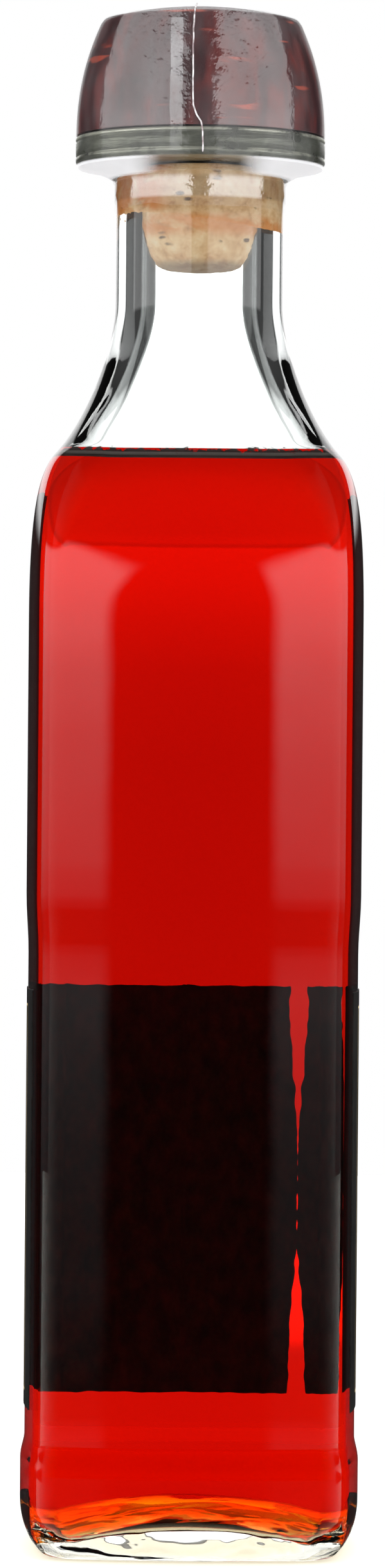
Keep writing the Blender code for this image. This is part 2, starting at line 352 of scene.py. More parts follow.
# a lit card close behind the bottle, seen only through glass
card = {
    "away": 0.15,
    "half": 0.050,
    "top": 0.36,
    "peak": 2.6,
    "tones": (
        (0.0, 1.28), (0.0262, 1.28), (0.030, 2.6), (0.060, 2.6), (0.075, 1.0), (0.16, 1.0),
        (0.179, 1.10), (0.191, 1.34), (0.198, 1.58), (0.203, 1.7), (0.36, 1.7),
    ),
}

# a veil between them that dims what the shoulder bends down onto the card
veil = {
    "away": 0.045,
    "half": 0.060,
    "tones": (
        (0.1990, 1.0), (0.2018, 1.0), (0.2021, 0.72), (0.2024, 0.74), (0.2028, 0.86), (0.2045, 0.80),
        (0.2250, 0.80), (0.2300, 1.0),
    ),
}


# looks a value up on a list of (position, tone), for tones up to 1
def toneAt(tree, value, tones):
    low, high = tones[0][0], tones[-1][0]
    position = addNode(tree, "MapRange")
    position.inputs["From Min"].default_value = low
    position.inputs["From Max"].default_value = high
    link(tree, value, position.inputs["Value"])
    stops = [((place - low) / (high - low), (tone, tone, tone)) for place, tone in tones]
    return ramp(tree, position.outputs["Result"], stops)


def makeWorld():
    world = bpy.data.worlds.new("studio")
    bpy.context.scene.world = world
    world.use_nodes = True
    world.cycles.sampling_method = "NONE"
    tree = world.node_tree
    tree.nodes.clear()
    place = addNode(tree, "TexCoord")
    parts = addNode(tree, "SeparateXYZ")
    link(tree, place.outputs["Generated"], parts.inputs["Vector"])
    x, y, z = parts.outputs
    toDegrees = 180 / math.pi
    rise = times(tree, doMath(tree, "ARCSINE", z), toDegrees)
    fromBack = doMath(tree, "ARCTAN2", doMath(tree, "ABSOLUTE", x), y)
    fromBack = times(tree, fromBack, toDegrees)
    fromFront = minus(tree, 180.0, fromBack)

    # seen through the glass
    pastBack = smoothStep(tree, fromBack, *studio["backEdge"])
    atFront = smoothStep(tree, fromBack, *studio["frontEdge"])
    shade = times(tree, pastBack, minus(tree, 1.0, atFront))
    shade = doMath(tree, "MAXIMUM", shade, smoothStep(tree, rise, *studio["roofEdge"]))
    through = minus(tree, 1.0, times(tree, shade, 1 - studio["dark"]))

    # reflected: two tall soft boxes, and the lit backdrop at grazing angles
    onLeft = doMath(tree, "LESS_THAN", x, 0.0)
    boxes = None
    spreading = smoothStep(tree, rise, *studio["boxSpread"])
    for name, side in (("left", onLeft), ("right", minus(tree, 1.0, onLeft))):
        nearA, nearB, farA, farB = studio[name + "Box"]
        reached = doMath(tree, "MULTIPLY_ADD", spreading, studio[name + "Spread"], fromFront)
        nearSide = smoothStep(tree, reached, nearA, nearB)
        farSide = smoothStep(tree, fromFront, farA, farB)
        box = times(tree, minus(tree, nearSide, farSide), side)
        boxes = box if boxes is None else plus(tree, boxes, box)
    glow = times(tree, toneAt(tree, rise, studio["boxTones"]), studio["boxPeak"])
    dipFrom, dipTo, dip = studio["roofDip"]
    sloped = doMath(tree, "MULTIPLY_ADD", smoothStep(tree, fromFront, dipFrom, dipTo), -dip, dip)
    sloped = plus(tree, sloped, rise)
    glow = times(tree, glow, stepDown(tree, sloped, *studio["boxRoof"]))
    glow = times(tree, glow, boxes)
    backdrop = stepDown(tree, fromBack, *studio["grazeEdge"])
    above = stepDown(tree, fromBack, *studio["highGrazeEdge"])
    above = times(tree, above, smoothStep(tree, rise, *studio["highGrazeFrom"]))
    backdrop = doMath(tree, "MAXIMUM", backdrop, above)
    gloss = plus(tree, doMath(tree, "MAXIMUM", glow, backdrop), studio["leastGloss"])

    paths = addNode(tree, "LightPath")
    isDiffuse = doMath(tree, "GREATER_THAN", paths.outputs["Diffuse Depth"], 0.5)
    value = times(tree, paths.outputs["Is Transmission Ray"], through)
    value = plus(tree, value, times(tree, paths.outputs["Is Reflection Ray"], gloss))
    value = times(tree, value, minus(tree, 1.0, isDiffuse))
    value = plus(tree, value, times(tree, isDiffuse, studio["soft"]))
    white = times(tree, paths.outputs["Is Camera Ray"], studio["white"])
    value = plus(tree, value, white)
    background = addNode(tree, "Background")
    link(tree, value, background.inputs["Strength"])
    output = addNode(tree, "OutputWorld")
    link(tree, background.outputs["Background"], output.inputs["Surface"])
    background.inputs["Color"].default_value = (1, 1, 1, 1)


# the floor, which glows in a warm spot under the bottle
ground = {
    "radius": 1.1,
    "below": 0.0002,
    "glow": 0.45,
    "tones": ((0.86, 0.86, 0.86), (0.88, 0.88, 0.88)),
    "spotEdge": (0.034, 0.060),
    "spotColour": (1.45, 1.32, 0.95),
}


def makeFloor():
    bpy.ops.object.select_all(action="DESELECT")
    bpy.ops.mesh.primitive_circle_add(
        vertices=64, radius=ground["radius"], fill_type="NGON", location=(0, 0, -ground["below"])
    )
    floor = bpy.context.object
    floor.name = "floor"
    material, tree, shader = newMaterial("paleFloor", Roughness=0.9, Emission_Strength=ground["glow"])
    tone = noiseOn(tree, objectPlace(tree), 30.0)
    pale = mixColours(tree, tone, *ground["tones"])
    link(tree, pale, shader.inputs["Base Color"])
    parts = axes(tree)
    squares = [doMath(tree, "POWER", parts[axis], 2.0) for axis in ("X", "Y")]
    fromMiddle = doMath(tree, "SQRT", plus(tree, *squares))
    spot = stepDown(tree, fromMiddle, *ground["spotEdge"])
    link(tree, mixColours(tree, spot, pale, ground["spotColour"]), shader.inputs["Emission Color"])
    material.cycles.emission_sampling = "NONE"
    floor.data.materials.append(material)
    floor.visible_glossy = False


# an upright sheet behind the bottle that only light coming through the glass meets
def makeSheet(name, away, half, low, high, material):
    bpy.ops.object.select_all(action="DESELECT")
    middle = (0, away, (low + high) / 2)
    bpy.ops.mesh.primitive_plane_add(size=1, location=middle, rotation=(math.pi / 2, 0, 0))
    sheet = bpy.context.object
    sheet.name = name
    sheet.scale = (2 * half, high - low, 1)
    bpy.ops.object.transform_apply(location=True, rotation=True, scale=True)
    sheet.data.materials.append(material)
    for rays in ("camera", "diffuse", "glossy", "shadow"):
        setattr(sheet, "visible_" + rays, False)


def makeCard():
    material, tree = bareMaterial("cardLight")
    light = addNode(tree, "Emission")
    shares = [(height, tone / card["peak"]) for height, tone in card["tones"]]
    strength = times(tree, toneAt(tree, axes(tree)["Z"], shares), card["peak"])
    link(tree, strength, light.inputs["Strength"])
    linkSurface(tree, light)
    material.cycles.emission_sampling = "NONE"
    makeSheet("card", card["away"], card["half"], 0.0, card["top"], material)


def makeVeil():
    material, tree = bareMaterial("veilShade")
    dim = addNode(tree, "BsdfTransparent")
    link(tree, toneAt(tree, axes(tree)["Z"], veil["tones"]), dim.inputs["Color"])
    linkSurface(tree, dim)
    makeSheet("veil", veil["away"], veil["half"], veil["tones"][0][0], veil["tones"][-1][0], material)


# glass

glass = {
    "bodyHalf": 0.0340,
    "panelHalf": 0.0335,
    "bumperHalf": 0.0343,
    "faceBow": 0.150,            # radius of each bowed face
    "corner": 0.0065,
    "cornerShare": 0.4,          # of the half-width, at most
    "cornerLoss": 0.7,           # share of an inset that its inner corner loses
    "tint": (0.955, 0.98, 0.972, 1.0),
    "relief": 0.00004,           # how deep its waves look
    "bodyWall": 0.0028,
    "shoulderWall": 0.0024,
    "footHalf": 0.0290,
    "footBand": 0.0022,
    "footPushUp": 0.0040,
    "footShares": (0.03, 0.12, 0.22, 0.34, 0.46, 0.58, 0.7, 0.8, 0.9, 0.96),
    "footSquareBy": 1.2,         # how soon the rings turn square, from the middle out
    "heelHeight": 0.0100,
    "bumperTop": 0.0178,
    "panelLow": 0.0227,
    "panelHigh": 0.1200,
    "panelFade": 0.0120,
    "floorLow": 0.0042,
    "floorRise": 0.0065,
    "floorRiseRadius": 0.0335,
    "floorShares": (0.02, 0.1, 0.2, 0.3, 0.4, 0.5, 0.6, 0.7, 0.76),
    "floorSquareBy": 1.6,
    "floorFillet": 0.0060,
    "floorWave": 0.0004,
    "floorWaveScale": (110, 80),
    "floorWaveSeed": 0.7,
    "floorWaveEdge": (0.022, 0.030),
    "footWave": 24.0,
    "footWaveTop": (0.0048, 0.0068),
    "dullBand": (0.0165, 0.0240),   # the bumper's edge, which mirrors nothing
    "shoulderFoot": 0.1880,
    "shoulderTurn": (0.0286, 0.2214),
    "shoulderSlope": math.radians(42),
    "shoulderFullness": 0.0235,
    "turnPulls": (0.005, 0.008),
    "neckFoot": 0.2520,
    "neckPull": 0.010,
    "wallThins": (0.2120, 0.2300),
    "wallGrowsFrom": 0.2180,
    "roundFrom": 0.2480,
    "squareFrom": 0.1990,
    "neckRadius": 0.0169,
    "lipRadius": 0.0172,
    "lipLow": 0.2725,
    "lipStep": 0.0012,
    "lipRound": 0.0018,
    "bore": 0.0118,
    "boreRound": 0.0012,
    "seamLeft": 0.0016,
    "seamWide": 0.0005,
    "seamRaise": 0.16,
    "levelClear": 0.0003,
    "faceSteps": 12,
    "cornerSteps": 15,
    "heelSteps": 14,
    "panelRows": 14,
    "upperRows": 8,
    "curveSteps": 26,
    "filletSteps": 10,
    "lipSteps": 6,
}
quarterSteps = glass["faceSteps"] + glass["cornerSteps"]
glassSides = 4 * quarterSteps
# where a quarter's first point lies on the circle that the neck is
roundTurn = math.pi / 4 * glass["faceSteps"] / quarterSteps


def squareness(z):
    return eased((glass["roundFrom"] - z) / (glass["roundFrom"] - glass["squareFrom"]))


# one level cut of the bottle: four bowed faces joined by round corners, or a circle
def sectionPoints(half, square, inset):
    face = glass["faceBow"] - inset
    corner = min(glass["corner"] - glass["cornerLoss"] * inset, glass["cornerShare"] * half)
    spare = face - half
    middle = (math.sqrt(2 * (face - corner) ** 2 - spare ** 2) - spare) / 2
    turn = math.atan2(middle, middle + spare)
    points = []
    for quarter in range(4):
        facing = quarter * math.pi / 2
        for index in range(quarterSteps):
            if index < glass["faceSteps"]:
                angle = mixed(-turn, turn, index / glass["faceSteps"])
                out, along = face * math.cos(angle) - spare, face * math.sin(angle)
            else:
                share = (index - glass["faceSteps"]) / glass["cornerSteps"]
                angle = mixed(turn, math.pi / 2 - turn, share)
                out, along = middle + corner * math.cos(angle), middle + corner * math.sin(angle)
            angle = index * math.pi / 2 / quarterSteps - roundTurn
            out = mixed(half * math.cos(angle), out, square)
            along = mixed(half * math.sin(angle), along, square)
            points.append((
                out * math.cos(facing) - along * math.sin(facing),
                out * math.sin(facing) + along * math.cos(facing),
            ))
    return points


def uprightRows(half, low, high, rows):
    return [(half, mixed(low, high, row / rows)) for row in range(1, rows + 1)]


# (half-width, height) of the outside, from the foot up to the lip
def outsideProfile():
    g = glass
    points = [(g["footHalf"] - g["footBand"], 0.0)]
    heel = (g["bumperHalf"] - g["footHalf"], g["heelHeight"])
    points += arcPoints((g["footHalf"], g["heelHeight"]), heel, -90, 0, g["heelSteps"])
    points += [(g["bumperHalf"], mixed(g["heelHeight"], g["bumperTop"], t)) for t in (0.3, 0.6, 0.85, 1.0)]
    for t in (0.15, 0.3, 0.45, 0.6, 0.75, 0.9, 1.0):
        half = mixed(g["bumperHalf"], g["panelHalf"], eased(t))
        points.append((half, mixed(g["bumperTop"], g["panelLow"], t)))
    points += uprightRows(g["panelHalf"], g["panelLow"], g["panelHigh"], g["panelRows"])
    for t in (0.2, 0.35, 0.5, 0.65, 0.8, 1.0):
        points.append((mixed(g["panelHalf"], g["bodyHalf"], eased(t)), g["panelHigh"] + t * g["panelFade"]))
    points += uprightRows(g["bodyHalf"], g["panelHigh"] + g["panelFade"], g["shoulderFoot"], g["upperRows"])
    slope = (math.sin(g["shoulderSlope"]), -math.cos(g["shoulderSlope"]))
    turnX, turnZ = g["shoulderTurn"]
    pullBelow, pullAbove = g["turnPulls"]
    points += curvePoints(
        (g["bodyHalf"], g["shoulderFoot"]),
        (g["bodyHalf"], g["shoulderFoot"] + g["shoulderFullness"]),
        (turnX + pullBelow * slope[0], turnZ + pullBelow * slope[1]),
        g["shoulderTurn"],
        g["curveSteps"],
    )
    points += curvePoints(
        g["shoulderTurn"],
        (turnX - pullAbove * slope[0], turnZ - pullAbove * slope[1]),
        (g["neckRadius"], g["neckFoot"] - g["neckPull"]),
        (g["neckRadius"], g["neckFoot"]),
        g["curveSteps"],
    )
    points += uprightRows(g["neckRadius"], g["neckFoot"], g["lipLow"], 4)
    points += [(g["lipRadius"], g["lipLow"] + g["lipStep"])]
    lip = (g["lipRadius"] - g["lipRound"], lipTop - g["lipRound"])
    points += arcPoints(lip, (g["lipRound"], g["lipRound"]), 0, 90, g["lipSteps"])
    return points


# the part of it above the heel, where no height comes twice
def upperOutside():
    return [point for point in outsideProfile() if point[1] > glass["heelHeight"]]


def wallAt(z):
    g = glass
    thinsFrom, thinAt = g["wallThins"]
    thick = mixed(g["bodyWall"], g["shoulderWall"], eased((z - thinsFrom) / (thinAt - thinsFrom)))
    growing = (z - g["wallGrowsFrom"]) / (g["neckFoot"] - g["wallGrowsFrom"])
    return mixed(thick, g["neckRadius"] - g["bore"], eased(growing))


def floorAt(x, y):
    g = glass
    radius = math.hypot(x, y)
    scaleX, scaleY = g["floorWaveScale"]
    fadesFrom, gone = g["floorWaveEdge"]
    wave = noise.noise(Vector((x * scaleX, y * scaleY, g["floorWaveSeed"])))
    wave *= g["floorWave"] * eased((gone - radius) / (gone - fadesFrom))
    return g["floorLow"] + g["floorRise"] * max(0.0, 1 - (radius / g["floorRiseRadius"]) ** 2) + wave


# rings of the hollow from the middle of its floor upwards: (half-width, height, square, inset, on the floor)
def hollowRings(grow, top):
    g = glass
    outside = upperOutside()
    side = g["bumperHalf"] - g["bodyWall"] + grow
    rings = []
    for share in g["floorShares"]:
        rings.append((side * share, -grow, eased(share * g["floorSquareBy"]), g["bodyWall"], True))
    for row in range(g["filletSteps"] + 1):
        angle = math.pi / 2 * row / g["filletSteps"]
        half = side - g["floorFillet"] * (1 - math.sin(angle))
        rings.append((half, g["floorFillet"] * (1 - math.cos(angle)) - grow, 1.0, g["bodyWall"], True))
    clear = g["levelClear"]
    above, below = g["bumperTop"] + clear, min(top - clear, g["neckFoot"] + clear)
    levels = [z for half, z in outside if above < z < below]
    for z in levels + [top] * (top < g["neckFoot"]):
        square = squareness(z)
        half = radiusAt(outside, z) - wallAt(z) + grow
        rings.append((half, z, square, g["bodyWall"] * square, False))
    return rings


# turns the round rings of a piece into the bottle's own section, ring by ring
def squareUp(piece, rings):
    firstOnCircle = round(roundTurn / (2 * math.pi / glassSides))
    sections = [sectionPoints(half, square, inset) for half, _, square, inset, _ in rings]
    for vert in piece.data.vertices:
        ring = vert.index // glassSides
        angle = math.atan2(vert.co.y, vert.co.x)
        index = (round(angle / (2 * math.pi / glassSides)) + firstOnCircle) % glassSides
        x, y = sections[ring][index]
        _, height, _, _, onFloor = rings[ring]
        vert.co = (x, y, height + (floorAt(x, y) if onFloor else 0.0))


# a turned piece whose rings then take the bottle's own section
def squarePiece(name, rings):
    piece = turnPiece(name, [(half, z) for half, z, _, _, _ in rings], glassSides)
    squareUp(piece, rings)
    return piece


def makeGlassMaterial(name, wet):
    tint = (0.0, 0.0, 0.0, 1.0) if wet else (1.0, 1.0, 1.0, 1.0)
    material, tree, shader = newMaterial(
        name,
        Base_Color=glass["tint"],
        Roughness=0.0,
        IOR=1.5,
        Transmission_Weight=1.0,
        Specular_Tint=tint,
    )
    wave = noiseOn(tree, objectPlace(tree, (1, 1, 0.55)), 75.0, 1.0, 0.4)
    ripple = noiseOn(tree, objectPlace(tree), 420.0, 1.0, 0.4)
    height = plus(tree, wave, times(tree, ripple, 0.05))
    if not wet:
        foot = minus(tree, noiseOn(tree, objectPlace(tree), 85.0, 1.5, 0.5, 0.6), 0.5)
        atFoot = stepDown(tree, axes(tree)["Z"], *glass["footWaveTop"])
        height = plus(tree, height, times(tree, foot, times(tree, atFoot, glass["footWave"])))
        seam = doMath(tree, "ABSOLUTE", plus(tree, axes(tree)["X"], glass["seamLeft"]))
        seam = stepDown(tree, seam, 0.0, glass["seamWide"])
        height = plus(tree, height, times(tree, seam, glass["seamRaise"]))
    link(tree, bump(tree, height, glass["relief"]), shader.inputs["Normal"])
    return material


# where the drink's surface climbs the glass
meniscus = {
    "climb": 0.0009,
    "reach": 0.0014,
    "intoWall": 0.00015,
    # distances from the wall of the rings across the surface, and the last one's half-width
    "surfaceRings": (0.00015, 0.0004, 0.0008, 0.0013, 0.002, 0.003, 0.0045, 0.007, 0.011, 0.016, 0.021),
    "middle": 0.0005,
    # tones by height over the surface: painted shade and a painted pale sheen line where the drink meets the
    # glass, then the trace the drink leaves on the glass above
    "rimTones": (
        (-0.0010, 0.05), (-0.0006, 0.012), (-0.0004, 0.14), (0.0000, 0.20), (0.0002, 0.02),
        (0.0005, 0.05), (0.0014, 0.16),
    ),
    "rimTint": (0.16, 0.03, 0.06),
    "rimTintShare": 0.16,
    "rimRagged": 0.0040,
    "rimEnds": (0.0004, 0.0008),
    "rimInset": 0.0001,
    "rimThick": 0.00005,
    "rimRows": 12,
}


def makeBottle():
    g = glass
    rings = []
    inner = g["footHalf"] - g["footBand"]
    for share in g["footShares"]:
        lift = g["footPushUp"] * (1 - share ** 2) ** 1.5
        rings.append((inner * share, lift, eased(share * g["footSquareBy"]), 0.0, False))
    rings += [(half, z, squareness(z), 0.0, False) for half, z in outsideProfile()]
    mouth = (g["bore"] + g["boreRound"], lipTop - g["boreRound"])
    turn = arcPoints(mouth, (g["boreRound"],) * 2, 90, 180, g["lipSteps"])
    rings += [(half, z, 0.0, 0.0, False) for half, z in turn]
    firstInside = len(rings)
    bore = [(g["bore"], mixed(mouth[1], g["neckFoot"], t), 0.0, 0.0, False) for t in (0.25, 0.5, 0.75)]
    rings += bore + hollowRings(0.0, lipTop)[::-1]
    piece = squarePiece("bottleGlass", rings)
    closePiece(piece, 80)
    materials = [makeGlassMaterial("clearGlass", False), makeGlassMaterial("wetGlass", True)]
    placePiece(piece, ["bottle"], materials)
    wetTop = fillLevel + meniscus["climb"]
    dullLow, dullHigh = g["dullBand"]
    for polygon in piece.data.polygons:
        inside = min(polygon.vertices) // glassSides >= firstInside
        if (inside and polygon.center.z < wetTop) or (not inside and dullLow < polygon.center.z < dullHigh):
            polygon.material_index = 1


# the rim round the drink's surface, painted with dark shade and a pale sheen line, and the ragged trace the
# drink leaves on the glass above
def makeRimMaterial():
    material, tree, shader = newMaterial("drinkRim", Roughness=0.3)
    height = minus(tree, axes(tree)["Z"], fillLevel)
    colour = toneAt(tree, height, meniscus["rimTones"])
    colour = mixColours(tree, meniscus["rimTintShare"], colour, meniscus["rimTint"])
    link(tree, colour, shader.inputs["Base Color"])
    ragged = noiseOn(tree, objectPlace(tree, (1, 1, 1.6)), 520.0, 4.0, 0.65)
    ragged = doMath(tree, "MULTIPLY_ADD", minus(tree, ragged, 0.5), meniscus["rimRagged"], height)
    link(tree, stepDown(tree, ragged, *meniscus["rimEnds"]), shader.inputs["Alpha"])
    return material


def makeRim():
    m = meniscus
    outside = upperOutside()
    low, high = m["rimTones"][0][0], m["rimTones"][-1][0]
    rings = []
    for row in range(m["rimRows"] + 1):
        z = fillLevel + mixed(low, high, row / m["rimRows"])
        square = squareness(z)
        half = radiusAt(outside, z) - wallAt(z) - m["rimInset"]
        rings.append((half, z, square, glass["bodyWall"] * square, False))
    piece = squarePiece("bourbonRim", rings)
    faceOutwards(piece)
    thickenSheet(piece, m["rimThick"], -1.0, 60)
    placePiece(piece, [], [makeRimMaterial()])


# drink

drink = {
    "index": 1.36,
    "takesRed": 9.4,             # how much of each colour a metre takes away
    "takesGreen": 100.0,
    "takesBlue": 360.0,
}


def makeDrinkMaterial():
    material, tree, shader = newMaterial(
        "bourbon",
        Base_Color=(1, 1, 1, 1),
        Roughness=0.0,
        IOR=drink["index"],
        Transmission_Weight=1.0,
        Specular_Tint=(0, 0, 0, 1),
    )
    most = drink["takesBlue"]
    body = addNode(tree, "VolumeAbsorption", Density=most)
    colour = (1 - drink["takesRed"] / most, 1 - drink["takesGreen"] / most, 0.0, 1.0)
    body.inputs["Color"].default_value = colour
    link(tree, body.outputs["Volume"], tree.nodes["Material Output"].inputs["Volume"])
    swirl = noiseOn(tree, objectPlace(tree), 40.0, 1.0, 0.4)
    link(tree, bump(tree, swirl, 0.000004), shader.inputs["Normal"])
    return material


def makeDrink():
    climb, reach, grow = meniscus["climb"], meniscus["reach"], meniscus["intoWall"]
    rings = hollowRings(grow, fillLevel + climb)
    half, _, square, inset, _ = rings[-1]
    for away in (*meniscus["surfaceRings"], half - meniscus["middle"]):
        height = fillLevel + climb * math.exp(-max(0.0, away - grow) / reach)
        rings.append((half - away, height, square, inset, False))
    piece = squarePiece("bourbonDrink", rings)
    closePiece(piece, 60)
    placePiece(piece, ["bourbon"], [makeDrinkMaterial()])


# cork

cork = {
    "pressed": 0.01192,          # radius where it is squeezed against the bore
    "free": 0.0116,              # and below that
    "contactLeft": 0.2694,       # the glass lets go of it higher on the left
    "contactRight": 0.2656,
    # (radius, height) above its foot, up to where it is full width
    "taper": (
        (0.0040, 0.0), (0.0070, 0.0003), (0.0084, 0.0009), (0.0098, 0.0030), (0.0107, 0.0056),
        (0.0116, 0.0092),
    ),
    "axis": 0.0006,
    "headEdge": 0.0004,
    "sides": 144,
    "rows": 40,
    "grip": 0.0012,              # height over which it is squeezed
    "sideFrom": 0.0105,          # its side is outside this radius
    "crumble": 0.00028,
    "crumbleScale": 900,
    "footRough": 0.0006,
    "footRoughTall": 0.002,
    "footRoughScale": 700,
    # stains where the drink has wet it: a band low down and one on the left; and painted shade that darkens
    # its foot
    "band": ((0.2640, 0.2665), (0.2680, 0.2700)),
    "leftEdge": (-0.0085, -0.0045),
    "leftFrom": (0.2690, 0.2710),
    "footShade": (0.2590, 0.2606),
    "stainColour": (0.78, 0.24, 0.04),
    "footShadeColour": (0.30, 0.24, 0.18),
    "pitColour": (0.11, 0.045, 0.02),
}


def makeCorkMaterial():
    material, tree, shader = newMaterial("corkGrain", Roughness=0.85, Specular_IOR_Level=0.25)
    place = objectPlace(tree)
    grain = noiseOn(tree, place, 260.0, 6.0, 0.65)
    patches = noiseOn(tree, objectPlace(tree, (1, 1, 1.5)), 120.0, 4.0, 0.6, 0.4)
    base = ramp(tree, grain, (
        (0.30, (0.55, 0.26, 0.10)),
        (0.45, (0.80, 0.49, 0.24)),
        (0.60, (0.92, 0.64, 0.36)),
        (0.75, (0.95, 0.76, 0.52)),
    ))
    parts = axes(tree)
    band = between(tree, parts["Z"], *cork["band"])
    left = stepDown(tree, parts["X"], *cork["leftEdge"])
    left = times(tree, left, smoothStep(tree, parts["Z"], *cork["leftFrom"]))
    stain = doMath(tree, "MAXIMUM", times(tree, band, 0.8), left)
    stain = times(tree, stain, smoothStep(tree, patches, 0.34, 0.52))
    colour = mixColours(tree, times(tree, stain, 0.8), base, cork["stainColour"])
    # painted shade on the cork's foot, the underside of the cork seen in the bore
    foot = stepDown(tree, parts["Z"], *cork["footShade"])
    colour = mixColours(tree, times(tree, foot, 0.6), colour, cork["footShadeColour"])
    # dark pits and slits
    cells = addNode(tree, "TexVoronoi", Scale=230.0, feature="F1")
    link(tree, objectPlace(tree, (1, 1, 2.2)), cells.inputs["Vector"])
    pits = stepDown(tree, cells.outputs["Distance"], 0.10, 0.26)
    pits = times(tree, pits, smoothStep(tree, patches, 0.50, 0.60))
    colour = mixColours(tree, times(tree, pits, 0.85), colour, cork["pitColour"])
    link(tree, colour, shader.inputs["Base Color"])
    height = minus(tree, grain, times(tree, pits, 0.9))
    link(tree, bump(tree, height, 0.00035), shader.inputs["Normal"])
    return material


def makeCork():
    c = cork
    profile = [(c["axis"], corkFoot)]
    for (radiusA, riseA), (radiusB, riseB) in zip(c["taper"], c["taper"][1:]):
        for t in (0.0, 0.2, 0.4, 0.6, 0.8):
            profile.append((mixed(radiusA, radiusB, t), corkFoot + mixed(riseA, riseB, t)))
    start = corkFoot + c["taper"][-1][1]
    profile += [(c["free"], mixed(start, corkHead, row / c["rows"])) for row in range(c["rows"] + 1)]
    profile += [(c["free"] - c["headEdge"], corkHead), (c["axis"], corkHead)]
    piece = turnPiece("corkPlug", profile, c["sides"])
    for vert in piece.data.vertices:
        radius = math.hypot(vert.co.x, vert.co.y)
        if vert.co.z > corkHead - 0.0001 or radius < 0.001:
            continue
        letsGo = mixed(c["contactLeft"], c["contactRight"], 0.5 + 0.5 * vert.co.x / radius)
        aim = radius + noise.fractal(vert.co * c["crumbleScale"], 1.0, 2.0, 4) * c["crumble"]
        if radius > c["sideFrom"]:
            aim = mixed(aim, c["pressed"], eased((vert.co.z - letsGo) / c["grip"]))
        vert.co.x *= aim / radius
        vert.co.y *= aim / radius
        if vert.co.z < corkFoot + c["footRoughTall"]:
            rough = noise.fractal(vert.co * c["footRoughScale"], 1.0, 2.0, 3)
            vert.co.z += max(0.0, rough) * c["footRough"]
    closePiece(piece, 50)
    placePiece(piece, ["cork"], [makeCorkMaterial()])


# stopper: ring and wooden cap

stopper = {
    "capTopRadius": 0.0204,
    "capFootRadius": 0.0252,
    "capEdge": 0.0006,
    "capRim": 0.3090,
    "capFootPull": 0.010,
    "capTopPull": (0.0026, 0.0065),
    "capSteps": 30,
    "domeSteps": 14,
    "axis": 0.0006,
    "flatTo": 0.012,
    "ringFootEdge": 0.0009,
    "ringFootIn": 0.0012,
    "ringTopEdge": 0.0005,
    "groove": 0.00022,
    # (share of the ring's height, share of the groove's depth)
    "grooves": (
        (0.22, 0.0), (0.26, 1.0), (0.30, 1.0), (0.34, 0.2), (0.55, 0.0), (0.76, 0.2), (0.80, 1.0),
        (0.84, 1.0), (0.88, 0.0),
    ),
    # brightness of the painted highlight lines by height over the ring's foot
    "sheenLineTones": (
        (0.0, 0.0), (0.0009, 0.0), (0.0011, 0.8), (0.0015, 0.8), (0.0017, 0.0), (0.0048, 0.0),
        (0.0051, 0.9), (0.0054, 0.9), (0.0057, 0.0),
    ),
    "sheenLineColour": (0.85, 0.86, 0.72),
    "fleckColour": (0.50, 0.07, 0.03),
    "sides": 180,
}


def capProfile():
    s = stopper
    pullOut, pullDown = s["capTopPull"]
    points = [(s["capFootRadius"], capFoot)] + curvePoints(
        (s["capFootRadius"], capFoot),
        (s["capFootRadius"], capFoot + s["capFootPull"]),
        (s["capTopRadius"] + pullOut, s["capRim"] - pullDown),
        (s["capTopRadius"], s["capRim"] - s["capEdge"]),
        s["capSteps"],
    )
    dome = capTop - s["capRim"]
    for row in range(s["domeSteps"]):
        radius = (s["capTopRadius"] - s["capEdge"]) * (1 - row / s["domeSteps"])
        points.append((radius, s["capRim"] + dome * (1 - (radius / s["capTopRadius"]) ** 2)))
    return points


def makeWoodMaterial():
    material, tree, shader = newMaterial(
        "stainedWood", Roughness=0.38, Coat_Weight=0.35, Coat_Roughness=0.12
    )
    place = objectPlace(tree, (1, 1, 0.35))
    grain = noiseOn(tree, place, 160.0, 6.0, 0.6, 0.8)
    base = ramp(tree, grain, (
        (0.30, (0.034, 0.013, 0.016)),
        (0.50, (0.072, 0.019, 0.022)),
        (0.68, (0.160, 0.022, 0.020)),
    ))
    streaks = noiseOn(tree, objectPlace(tree, (0.5, 0.5, 3.2)), 150.0, 2.0, 0.5, 0.3)
    where = noiseOn(tree, objectPlace(tree), 70.0, 2.0)
    flecks = times(tree, smoothStep(tree, streaks, 0.61, 0.68), smoothStep(tree, where, 0.46, 0.56))
    colour = mixColours(tree, times(tree, flecks, 0.7), base, stopper["fleckColour"])
    link(tree, colour, shader.inputs["Base Color"])
    link(tree, bump(tree, grain, 0.00012), shader.inputs["Normal"])
    return material


def makePewterMaterial():
    material, tree, shader = newMaterial("pewter", Metallic=0.75)
    cloud = noiseOn(tree, objectPlace(tree, (1, 1, 2)), 90.0, 5.0, 0.6, 0.5)
    base = ramp(tree, cloud, (
        (0.30, (0.110, 0.115, 0.085)),
        (0.50, (0.210, 0.220, 0.180)),
        (0.72, (0.420, 0.430, 0.350)),
    ))
    height = minus(tree, axes(tree)["Z"], ringFoot)
    # painted highlight lines round the ring, broken up by the cloud pattern
    sheenLines = toneAt(tree, height, stopper["sheenLineTones"])
    sheenLines = times(tree, sheenLines, smoothStep(tree, cloud, 0.38, 0.55))
    base = mixColours(tree, sheenLines, base, stopper["sheenLineColour"])
    link(tree, base, shader.inputs["Base Color"])
    scratches = noiseOn(tree, objectPlace(tree, (1, 1, 9)), 260.0, 3.0)
    rough = addNode(tree, "MapRange")
    rough.inputs["To Min"].default_value = 0.18
    rough.inputs["To Max"].default_value = 0.42
    link(tree, cloud, rough.inputs["Value"])
    link(tree, rough.outputs["Result"], shader.inputs["Roughness"])
    link(tree, bump(tree, plus(tree, cloud, scratches), 0.00012), shader.inputs["Normal"])
    return material


def makeCap():
    s = stopper
    piece = turnPiece("woodenCap", [(s["axis"], capFoot), (s["flatTo"], capFoot)] + capProfile(), s["sides"])
    closePiece(piece, 50)
    placePiece(piece, ["stopper_cap"], [makeWoodMaterial()])


